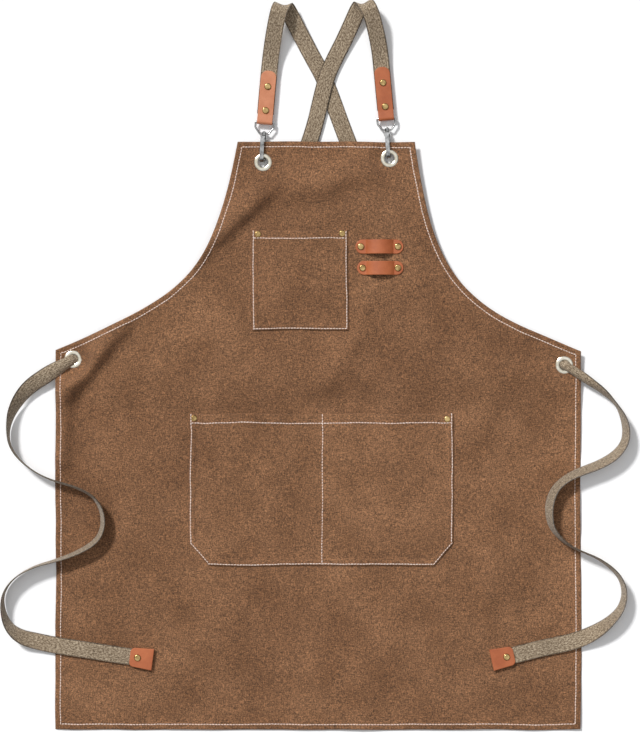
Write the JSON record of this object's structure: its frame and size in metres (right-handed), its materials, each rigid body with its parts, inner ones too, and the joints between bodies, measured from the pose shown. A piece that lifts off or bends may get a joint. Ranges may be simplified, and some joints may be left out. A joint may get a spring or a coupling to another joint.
{
  "type": "cross-back work apron",
  "caption": "Canvas work apron laid flat, with chest and waist pockets, leather tool loops, and cross-back webbing straps on swivel snap hooks that end in side ties.",
  "frame": {"origin": "under the middle of the apron's box without its straps, on the surface that it lies on", "axes": "+X to the right across the front, +Y from the bottom hem towards the shoulders, +Z out of the front"},
  "size_m": [0.8066, 0.9454, 0.0261],
  "materials": {
    "canvas": "waxed canvas, matt",
    "webbing": "woven cotton webbing, matt",
    "leather": "vegetable-tanned, low sheen",
    "antique_brass": "antique brass, satin",
    "eyelet_metal": "pale nickel, satin",
    "nickel": "polished nickel",
    "spring_steel": "bright drawn wire"
  },
  "bodies": {
    "root": {"chest_pocket": "canvas", "chest_pocket_rivets": "antique_brass", "front_panel": "canvas", "left_back_strap": "webbing", "left_bib_eyelet": "eyelet_metal", "left_bib_washer": "eyelet_metal", "left_shoulder_front": "webbing", "left_tab": "leather", "left_tab_rivets": "antique_brass", "left_tie": "webbing", "left_tie_end": "webbing", "left_tie_neck": "webbing", "left_tip": "leather", "left_tip_rivet": "antique_brass", "left_waist_eyelet": "eyelet_metal", "left_waist_washer": "eyelet_metal", "lower_tool_loop": "leather", "lower_tool_loop_rivets": "antique_brass", "right_back_strap": "webbing", "right_bib_eyelet": "eyelet_metal", "right_bib_washer": "eyelet_metal", "right_shoulder_front": "webbing", "right_tab": "leather", "right_tab_rivets": "antique_brass", "right_tie": "webbing", "right_tie_end": "webbing", "right_tie_neck": "webbing", "right_tip": "leather", "right_tip_rivet": "antique_brass", "right_waist_eyelet": "eyelet_metal", "right_waist_washer": "eyelet_metal", "upper_tool_loop": "leather", "upper_tool_loop_rivets": "antique_brass", "waist_pocket": "canvas", "waist_pocket_rivets": "antique_brass"},
    "left_ring": {"left_ring": "nickel"},
    "left_hook": {"left_hook": "nickel", "left_gate_pin": "nickel", "left_gate_spring": "spring_steel"},
    "left_gate": {"left_gate": "nickel"},
    "right_ring": {"right_ring": "nickel"},
    "right_hook": {"right_hook": "nickel", "right_gate_pin": "nickel", "right_gate_spring": "spring_steel"},
    "right_gate": {"right_gate": "nickel"}
  },
  "joints": [
    {"name": "left_ring_rock", "type": "hinge", "parent": "root", "child": "left_ring", "pos_m": [-0.06925, 0.35768, 0.0075], "axis": [0.9986, -0.0523, 0], "range_deg": [-0.8, 0.8]},
    {"name": "left_hook_swivel", "type": "hinge", "parent": "left_ring", "child": "left_hook", "pos_m": [-0.072, 0.3052, 0.0075], "axis": [0.0523, 0.9986, 0], "range_deg": [-10, 10]},
    {"name": "left_gate_open", "type": "hinge", "parent": "left_hook", "child": "left_gate", "pos_m": [-0.06893, 0.33608, 0.00209], "axis": [-0.9646, 0.0506, -0.2588], "range_deg": [0, 16], "stiffness_Nm_per_rad": 0.01, "springref_deg": -22.92},
    {"name": "right_ring_rock", "type": "hinge", "parent": "root", "child": "right_ring", "pos_m": [0.08783, 0.36262, 0.0075], "axis": [0.9976, 0.0698, 0], "range_deg": [-0.8, 0.8]},
    {"name": "right_hook_swivel", "type": "hinge", "parent": "right_ring", "child": "right_hook", "pos_m": [0.0915, 0.3102, 0.0075], "axis": [-0.0698, 0.9976, 0], "range_deg": [-10, 10]},
    {"name": "right_gate_open", "type": "hinge", "parent": "right_hook", "child": "right_gate", "pos_m": [0.09012, 0.34118, 0.00195], "axis": [-0.9879, -0.0691, -0.1392], "range_deg": [0, 16], "stiffness_Nm_per_rad": 0.01, "springref_deg": -22.92}
  ]
}
